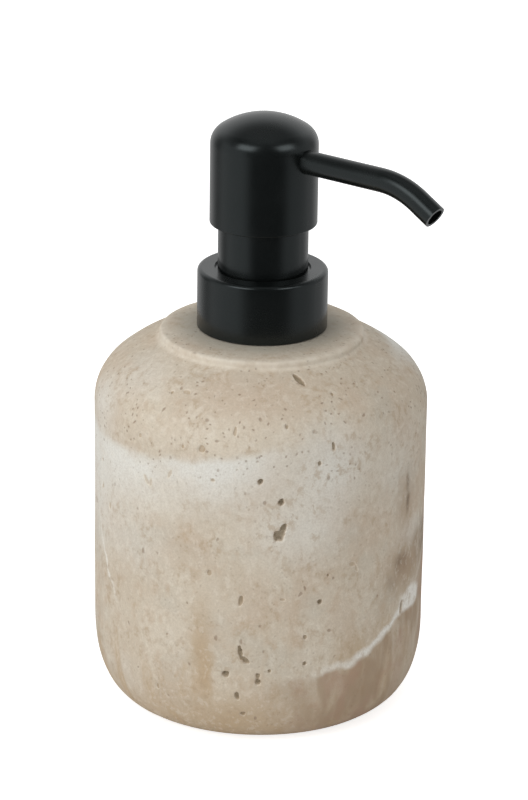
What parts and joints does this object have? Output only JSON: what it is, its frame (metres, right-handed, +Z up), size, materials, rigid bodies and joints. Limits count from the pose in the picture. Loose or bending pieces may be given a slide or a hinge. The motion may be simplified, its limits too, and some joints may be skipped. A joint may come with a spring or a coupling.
{
  "type": "soap pump dispenser",
  "caption": "Round cast-stone soap bottle with a screw-on lotion pump: domed black metal head that swivels and presses, bent tube spout, internal valves and spring.",
  "frame": {"origin": "centre of the base pad's lower face, on the bottle's axis", "axes": "+Z up along the bottle's axis; +X along the spout at rest; +Y completes a right-handed frame"},
  "size_m": [0.0964, 0.085, 0.1545],
  "materials": {
    "stone": "honed, matte, open pits",
    "black_metal": "satin black powder coat",
    "black_plastic": "moulded, matte",
    "natural_plastic": "natural polypropylene",
    "seal_plastic": "soft polyethylene",
    "neck_plastic": "moulded, matte",
    "plug_plastic": "moulded, matte",
    "dip_tube_plastic": "translucent polyethylene",
    "seal_foam": "foamed polyethylene",
    "seal_rubber": "nitrile rubber",
    "foam_pad": "closed-cell foam, matte",
    "steel": "drawn stainless steel"
  },
  "bodies": {
    "bottle": {"stone_body": "stone", "base_plug": "plug_plastic", "base_pad": "foam_pad", "neck_insert": "neck_plastic"},
    "pump": {"pump_housing": "natural_plastic", "neck_gasket": "seal_foam", "chaplet": "natural_plastic", "ball_retainer": "natural_plastic", "return_spring": "steel", "dip_tube": "dip_tube_plastic"},
    "collar": {"collar_shell": "black_metal", "closure_cap": "black_plastic"},
    "plunger": {"stem": "natural_plastic", "valve_pin": "natural_plastic"},
    "piston": {"piston": "seal_plastic"},
    "inlet_ball": {"inlet_ball": "steel"},
    "head": {"head_shell": "black_metal", "actuator_core": "black_plastic", "spout_o_ring": "seal_rubber", "spout_tube": "black_metal", "head_guide_ring": "black_plastic"}
  },
  "joints": [
    {"name": "pump_rise", "type": "slide", "parent": "bottle", "child": "pump", "axis": [0, 0, 1], "range_m": [0, 0.00635]},
    {"name": "collar_turn", "type": "hinge", "parent": "pump", "child": "collar", "pos_m": [0, 0, 0.105], "axis": [0, 0, 1], "range_deg": [0, 540]},
    {"name": "head_press", "type": "slide", "parent": "pump", "child": "plunger", "axis": [0, 0, -1], "range_m": [0, 0.0115], "stiffness_N_per_m": 500, "springref_m": -0.008, "deforming": ["return_spring"]},
    {"name": "head_swivel", "type": "hinge", "parent": "plunger", "child": "head", "pos_m": [0, 0, 0.135], "axis": [0, 0, 1], "continuous": true},
    {"name": "piston_float", "type": "slide", "parent": "plunger", "child": "piston", "axis": [0, 0, 1], "range_m": [0, 0.001]},
    {"name": "ball_lift", "type": "slide", "parent": "pump", "child": "inlet_ball", "axis": [0, 0, 1], "range_m": [0, 0.0015]}
  ],
  "couplings": [
    {"joint": "collar_turn", "follows": "pump_rise", "rad_per_m": 1484.2}
  ]
}
